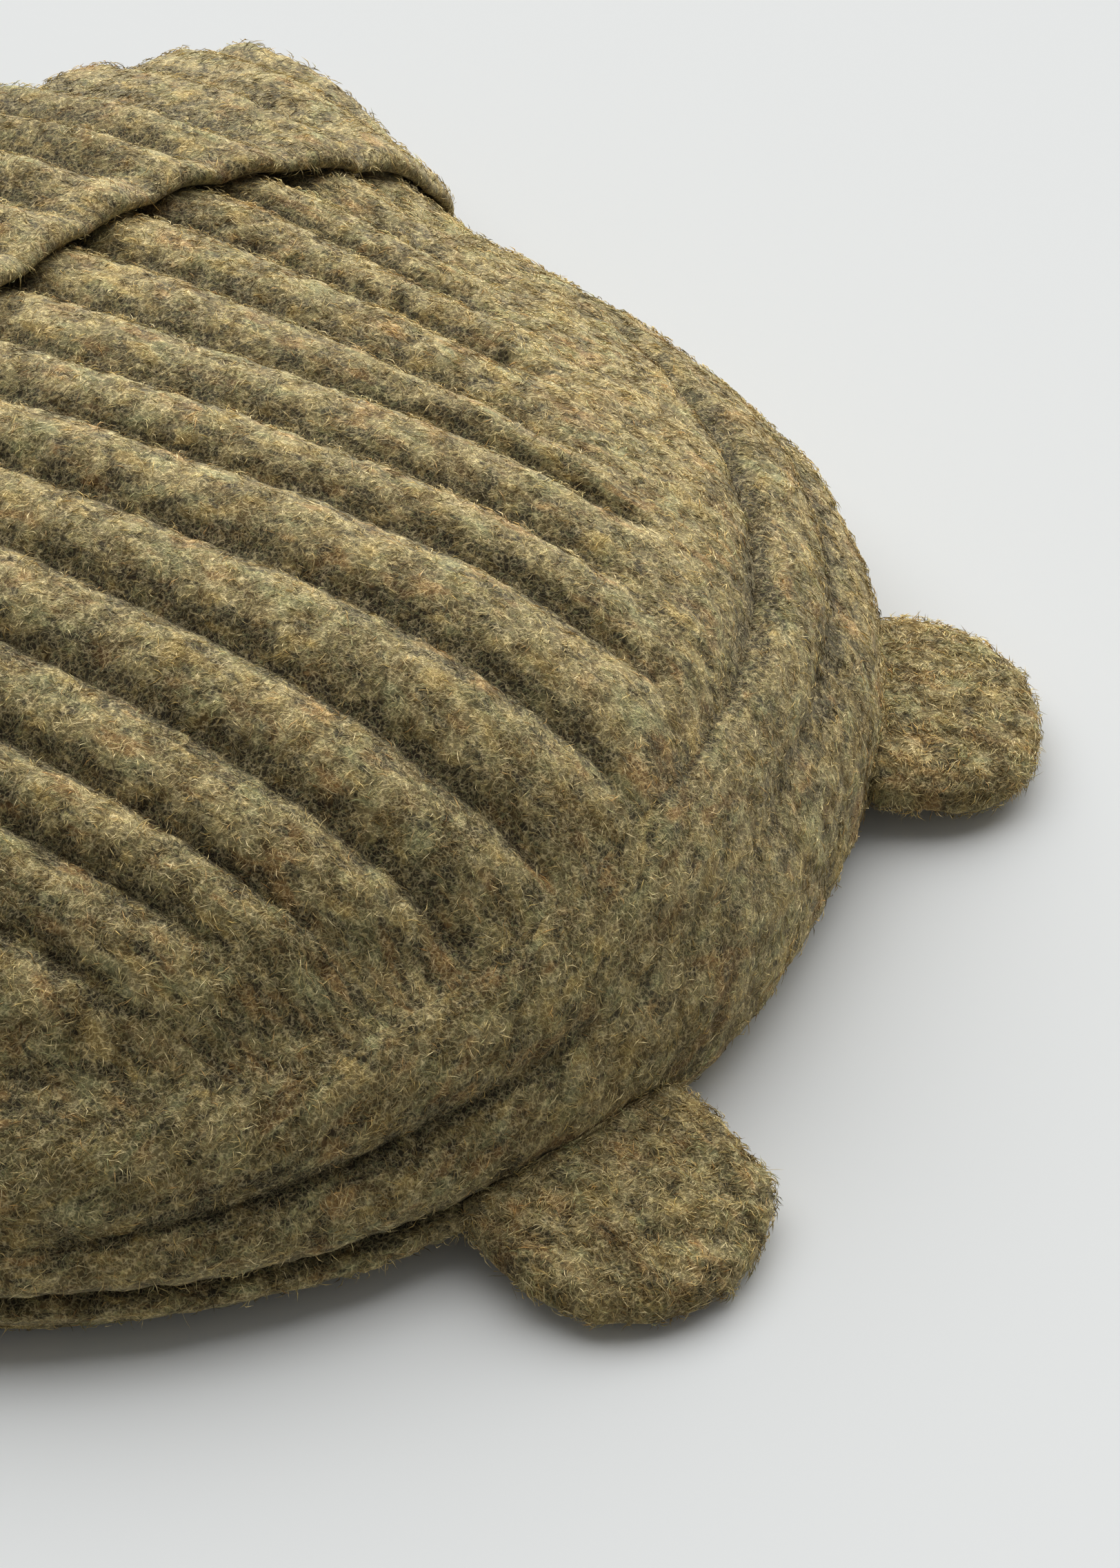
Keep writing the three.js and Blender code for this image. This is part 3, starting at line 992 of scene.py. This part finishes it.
def woolMaterial(name, forNap):
    material = bpy.data.materials.new(name)
    material.use_nodes = True
    tree = material.node_tree
    shader = tree.nodes["Principled BSDF"]
    looks = {
        "Roughness": "roughness",
        "Specular IOR Level": "specular",
        "Sheen Weight": "sheen",
        "Sheen Roughness": "sheenRoughness",
        "Sheen Tint": "sheenTint",
    }
    for socket, key in looks.items():
        feed(tree, shader.inputs[socket], wool[key])

    uv = addNode(tree, "ShaderNodeUVMap", uv_map="woolUv").outputs["UV"]
    objectPlace = addNode(tree, "ShaderNodeTexCoord").outputs["Object"]
    colour = heatherOn(tree, uv, objectPlace, forNap)
    if not forNap:
        lit = colour
        # painted shade on the bed between the painted curls; the curls keep the unshaded colour
        colour = mixOn(tree, 1.0, colour, wool["bedShade"], "MULTIPLY")
        height = noiseOn(tree, objectPlace, wool["bumpSize"] * mm, rough=0.6)
        for size, shift, tint, amount in wool["curls"]:
            curl = curlOn(tree, shiftOn(tree, objectPlace, shift * mm), size * mm)
            fibre = mixOn(tree, wool["curlTint"], lit, wool[tint])
            colour = mixOn(tree, mathOn(tree, "MULTIPLY", curl, amount), colour, fibre)
            height = mathOn(tree, "MAXIMUM", height, curl)
        bump = addNode(tree, "ShaderNodeBump")
        bump.inputs["Strength"].default_value = wool["bumpStrength"]
        bump.inputs["Distance"].default_value = wool["bumpDepth"] * mm
        tree.links.new(height, bump.inputs["Height"])
        tree.links.new(bump.outputs["Normal"], shader.inputs["Normal"])
    tree.links.new(colour, shader.inputs["Base Color"])
    return material


# The nap: short bent fibres all over, and longer curly ones among them
nap = {
    "short": {"length": (1.1, 2.1), "radius": (0.045, 0.065), "rise": 0.34, "curl": 0.8, "middles": 1},
    "long": {"length": (1.8, 3.0), "radius": (0.018, 0.028), "rise": 0.3, "curl": 0.9, "middles": 3},
    "wander": 0.35,  # how much a fibre turns at random from step to step
    "rooted": 0.08,
    "heights": (0.15, 1),
    "tuftRise": (0.6, 0.8),  # the height's share between the tufts, and what a tuft adds
    "bow": (0.25, 0.6),
    "tips": (0.2, 1.2),
    # the common lie of the fibres, from a few long waves, and how far each strays from it
    "swirlSize": 3.5,
    "swirlWaves": 24,
    "swirlFineness": 1.7,
    "swirlCalm": 3.5,
    "swirlSpread": 0.8,
    "bare": 0.55,  # how much of the nap is left between the tufts
    "facingDown": -0.25,
    "underHat": 0.12,
    "underCuff": 0.25,
    "underEar": 0.35,
    "cuffOverlap": 3.0,
    "upwardEdge": 0.3,
    "split": 32.0,
    "quickShare": 0.2,
}


def surfaceOf(piece, density):
    me = piece.data
    me.calc_loop_triangles()
    count = len(me.loop_triangles)
    verts = np.zeros(count * 3, int)
    loops = np.zeros(count * 3, int)
    me.loop_triangles.foreach_get("vertices", verts)
    me.loop_triangles.foreach_get("loops", loops)
    verts, loops = verts.reshape(-1, 3), loops.reshape(-1, 3)
    co = readPoints(me)
    normals = readPoints(me, "normal")
    a, b, c = co[verts[:, 0]], co[verts[:, 1]], co[verts[:, 2]]
    flat = np.cross(b - a, c - a)
    area = np.linalg.norm(flat, axis=1) / 2 / mm**2
    facing = flat / np.maximum(np.linalg.norm(flat, axis=1), 1e-18)[:, None]
    weight = area * density((a + b + c) / 3, facing)
    weight *= nap["bare"] + (1 - nap["bare"]) * readFloats(me, "tuft")[verts].mean(1)
    uv = np.zeros(len(me.loops) * 2, np.float32)
    me.uv_layers["woolUv"].uv.foreach_get("vector", uv)
    return {
        "verts": verts, "loops": loops, "co": co, "normals": normals, "weight": weight,
        "uv": uv.reshape(-1, 2), "groove": readFloats(me, "groove"), "tuft": readFloats(me, "tuft"),
    }


# A random point on the surface for each fibre, with what it takes over from there
def sowRoots(surface, count, rng):
    total = np.cumsum(surface["weight"])
    pick = np.searchsorted(total, rng.uniform(0, total[-1], count))
    r1, r2 = np.sqrt(rng.uniform(0, 1, count)), rng.uniform(0, 1, count)
    shares = np.stack([1 - r1, r1 * (1 - r2), r1 * r2], 1)[:, :, None]
    verts, loops = surface["verts"][pick], surface["loops"][pick]
    root = (surface["co"][verts] * shares).sum(1)
    normal = unit((surface["normals"][verts] * shares).sum(1))
    uv = (surface["uv"][loops] * shares).sum(1)
    groove, tuft = [(surface[name][verts] * shares[:, :, 0]).sum(1) for name in ("groove", "tuft")]
    return root, normal, uv, groove, tuft


# The points of the fibres, each a closed spindle with three sides round its bent line
def strandPoints(root, normal, tuft, kind, rng):
    count = len(root)
    fineness = 2 * math.pi / (nap["swirlSize"] * mm) / nap["swirlFineness"]
    waves = rng.normal(0, fineness, (nap["swirlWaves"], 3))
    phases = rng.uniform(0, 6.28, nap["swirlWaves"])
    lean = np.sin(root @ waves.T + phases) @ rng.normal(size=(nap["swirlWaves"], 3)) / nap["swirlCalm"]
    spin = lean + rng.normal(0, nap["swirlSpread"], (count, 3))
    way = unit(spin - normal * (spin * normal).sum(1)[:, None])
    across = np.cross(normal, way)
    length = rng.uniform(*kind["length"], count) * mm
    radius = rng.uniform(*kind["radius"], count) * mm
    middles = kind["middles"]
    steps = middles + 1
    curl = rng.normal(0, kind["curl"], count)
    least, more = nap["tuftRise"]
    height = rng.uniform(*nap["heights"], count) * (kind["rise"] * mm) * (least + more * tuft)
    angle = np.zeros(count)
    here = root - normal * nap["rooted"] * mm
    line = [here]
    for n in range(1, steps + 1):
        angle = angle + curl / steps + rng.normal(0, nap["wander"], count)
        step = way * np.cos(angle)[:, None] + across * np.sin(angle)[:, None]
        here = here + step * (length / steps)[:, None]
        bow = math.sin(math.pi * (nap["bow"][0] + nap["bow"][1] * n / steps))
        if n == steps:
            bow = rng.uniform(*nap["tips"], count)
        line.append(here + normal * (height * bow + nap["rooted"] * mm)[:, None])
    angles = [2 * math.pi * corner / 3 for corner in range(3)]
    ring = np.stack([across * math.cos(a) + normal * math.sin(a) for a in angles], 1)
    points = np.zeros((count, 2 + 3 * middles, 3))
    points[:, 0], points[:, -1] = line[0], line[-1]
    for m in range(middles):
        points[:, 1 + 3 * m:4 + 3 * m] = line[1 + m][:, None] + ring * radius[:, None, None]
    points[:, :, 2] += np.maximum(-points[:, :, 2].min(1), 0)[:, None]
    return points


# The triangles of one spindle: from its root, between its rings, and to its tip
def strandFaces(middles):
    faces = [(0, 1 + (c + 1) % 3, 1 + c) for c in range(3)]
    for base in range(1, 3 * middles - 2, 3):
        for c in range(3):
            d = (c + 1) % 3
            faces += [(base + c, base + d, base + 3 + d), (base + c, base + 3 + d, base + 3 + c)]
    last = 3 * middles - 2
    faces += [(last + c, last + (c + 1) % 3, 3 * middles + 1) for c in range(3)]
    return np.array(faces)


def strandsMesh(name, surface, count, kind, rng):
    root, normal, uv, groove, tuft = sowRoots(surface, count, rng)
    points = strandPoints(root, normal, tuft, kind, rng)
    perStrand = points.shape[1]
    faces = strandFaces(kind["middles"])
    index = (np.arange(count)[:, None, None] * perStrand + faces).reshape(-1)
    me = bpy.data.meshes.new(name)
    me.vertices.add(count * perStrand)
    me.vertices.foreach_set("co", points.ravel())
    me.loops.add(len(index))
    me.loops.foreach_set("vertex_index", index)
    me.polygons.add(len(index) // 3)
    me.polygons.foreach_set("loop_start", np.arange(0, len(index), 3))
    me.polygons.foreach_set("use_smooth", np.ones(len(index) // 3, bool))
    me.update(calc_edges=True)
    for key, value in (("strand", rng.uniform(0, 1, count)), ("groove", groove), ("tuft", tuft)):
        writeFloats(me, key, np.repeat(value, perStrand))
    layer = me.uv_layers.new(name="woolUv")
    layer.uv.foreach_set("vector", np.repeat(uv, len(faces) * 3, 0).astype(np.float32).ravel())
    piece = bpy.data.objects.new(name, me)
    bpy.context.scene.collection.objects.link(piece)
    return piece


def makeNap(name, host, density, short, long, seed):
    rng = np.random.default_rng(seed)
    share = 1
    surface = surfaceOf(host, density)
    pieces = [
        strandsMesh(name, surface, int(short * share), nap["short"], rng),
        strandsMesh(name + "_long", surface, int(long * share), nap["long"], rng),
    ]
    makeActive(*pieces)
    bpy.ops.object.join()
    whole = bpy.context.object
    sown = round(float(surface["weight"].sum()))
    print(name, len(whole.data.polygons), "triangles, sown on", sown, "weighted mm2")
    return whole


print("the knitted body")
knitBody = makeCrown()
rolledCuff = makeCuff()
depsgraph = bpy.context.evaluated_depsgraph_get()
crownTree = BVHTree.FromObject(knitBody, depsgraph)
earPads = [makeEar(name, *spot, crownTree) for name, spot in earPlaces.items()]

print("the wool")
ribWool = woolMaterial("heatheredWool", False)
napWool = woolMaterial("woolNap", True)
for piece in (knitBody, rolledCuff, *earPads):
    piece.data.materials.clear()
    piece.data.materials.append(ribWool)


# How thickly the nap grows between two values of x: full on what faces up or out, thin under the hat,
# and none inside or where the cuff covers it
def crownDensity(fromX, toX):
    def density(centre, facing):
        x = centre[:, 0] / mm
        y = centre[:, 1] / mm - brimPlace
        weight = np.where(facing[:, 2] < nap["facingDown"], nap["underHat"], 1.0)
        weight = np.where(y < cuff["height"] - nap["cuffOverlap"], 0.0, weight)
        weight = np.where(insideOf(centre, facing), 0.0, weight)
        return weight * (x >= fromX) * (x < toX)
    return density


# The hollow's middle line, which the inner skin faces: shares of x and of the height, and how far it runs
hollow = {"xShare": 0.6, "zShare": 0.5, "end": 90}


def insideOf(centre, facing):
    y = centre[:, 1] / mm - brimPlace
    middle = np.stack([
        centre[:, 0] * hollow["xShare"],
        np.minimum(centre[:, 1], (brimPlace + hollow["end"]) * mm),
        ridgeZ(y) * hollow["zShare"] * mm,
    ], 1)
    return ((middle - centre) * facing).sum(1) > 0


def cuffDensity(centre, facing):
    y = centre[:, 1] / mm - brimPlace
    fromMiddle = np.stack([centre[:, 0], 0 * y, centre[:, 2] - cuff["middleHeight"] * mm], 1)
    outward = (facing * fromMiddle).sum(1) > 0
    shows = outward | (facing[:, 1] > nap["upwardEdge"]) | (y < nap["cuffOverlap"])
    return np.where(shows, np.where(facing[:, 2] < nap["facingDown"], nap["underCuff"], 1.0), 0.0)


def earDensity(centre, facing):
    return np.where(facing[:, 2] < nap["facingDown"], nap["underEar"], 1.0)


split = nap["split"]
naps = [
    makeNap("crown_nap_near", knitBody, crownDensity(split, math.inf), short=25500, long=900, seed=11),
    makeNap("crown_nap_middle", knitBody, crownDensity(-split, split), short=25500, long=900, seed=12),
    makeNap("crown_nap_far", knitBody, crownDensity(-math.inf, -split), short=25500, long=900, seed=16),
    makeNap("cuff_nap", rolledCuff, cuffDensity, short=22000, long=900, seed=13),
]
earNaps = [
    makeNap("ear_left_nap", earPads[0], earDensity, short=4600, long=250, seed=14),
    makeNap("ear_right_nap", earPads[1], earDensity, short=4600, long=250, seed=15),
]
for piece in (*naps, *earNaps):
    piece.data.materials.append(napWool)

for piece in (knitBody, rolledCuff, *naps):
    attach(piece, "root")
for piece in (*earPads, *earNaps):
    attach(piece, "root")
for piece, node in zip(earPads, earPlaces):
    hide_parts(node)
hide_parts("knit_crown")
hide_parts("turned_up_cuff")

print("the floor, the light and the camera")
studio = {
    "floorSize": 6,
    "floorColour": (0.925, 0.938, 0.932),
    "floorRoughness": 0.9,
    "floorSpecular": 0.1,
    "skyColour": (0.97, 0.99, 1.0),
    "skyStrength": 0.2,
    "topStrength": 2.5,
    "topFrom": (-0.45, -0.35, 0.82),
    "topSoftness": 100.0,
    "keyStrength": 7.6,  # lights the wool alone, low from the far side
    "keyFrom": (-0.86, -0.44, 0.3),
    "keySoftness": 80.0,
}
deselectAll()
bpy.ops.mesh.primitive_plane_add(size=studio["floorSize"], location=(0, 0, 0))
floor = bpy.context.object
floor.name = "floor"
floorPaint = bpy.data.materials.new("paleFloor")
floorPaint.use_nodes = True
floorShader = floorPaint.node_tree.nodes["Principled BSDF"]
floorShader.inputs["Base Color"].default_value = (*studio["floorColour"], 1)
floorShader.inputs["Roughness"].default_value = studio["floorRoughness"]
floorShader.inputs["Specular IOR Level"].default_value = studio["floorSpecular"]
floor.data.materials.append(floorPaint)
floor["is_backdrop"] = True

world = bpy.data.worlds.new("studio")
bpy.context.scene.world = world
world.use_nodes = True
sky = world.node_tree.nodes["Background"]
sky.inputs["Color"].default_value = (*studio["skyColour"], 1)
sky.inputs["Strength"].default_value = studio["skyStrength"]


def addSun(name, strength, softness, comesFrom):
    light = bpy.data.lights.new(name, "SUN")
    light.energy = strength
    light.angle = math.radians(softness)
    sun = bpy.data.objects.new(name, light)
    bpy.context.scene.collection.objects.link(sun)
    sun.rotation_mode = "QUATERNION"
    sun.rotation_quaternion = Vector(comesFrom).to_track_quat("Z", "Y")
    sun.location = Vector(comesFrom)
    return sun


addSun("softTop", studio["topStrength"], studio["topSoftness"], studio["topFrom"])
softKey = addSun("softKey", studio["keyStrength"], studio["keySoftness"], studio["keyFrom"])
litWool = bpy.data.collections.new("litWool")
for o in [knitBody, rolledCuff, *earPads, *naps, *earNaps]:
    litWool.objects.link(o)
softKey.light_linking.receiver_collection = litWool

view = {"place": (412.7, 377.9, 439.7), "aim": (-25.6, 96.8, 0.0), "lens": 159.07, "sensor": 36}
camera = bpy.data.cameras.new("camera")
camera.lens = view["lens"]
camera.sensor_width = view["sensor"]
camera.dof.use_dof = False
cameraObject = bpy.data.objects.new("camera", camera)
bpy.context.scene.collection.objects.link(cameraObject)
cameraObject.location = place(view["place"])
aim = Vector(place(view["aim"]) - place(view["place"]))
cameraObject.rotation_mode = "QUATERNION"
cameraObject.rotation_quaternion = aim.to_track_quat("-Z", "Y")
bpy.context.scene.camera = cameraObject
bpy.context.scene.view_settings.view_transform = "Standard"

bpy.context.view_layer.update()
triangles = sum(len(o.data.loop_triangles) or len(o.data.polygons) * 2 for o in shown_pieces())
print("triangles, about", triangles)
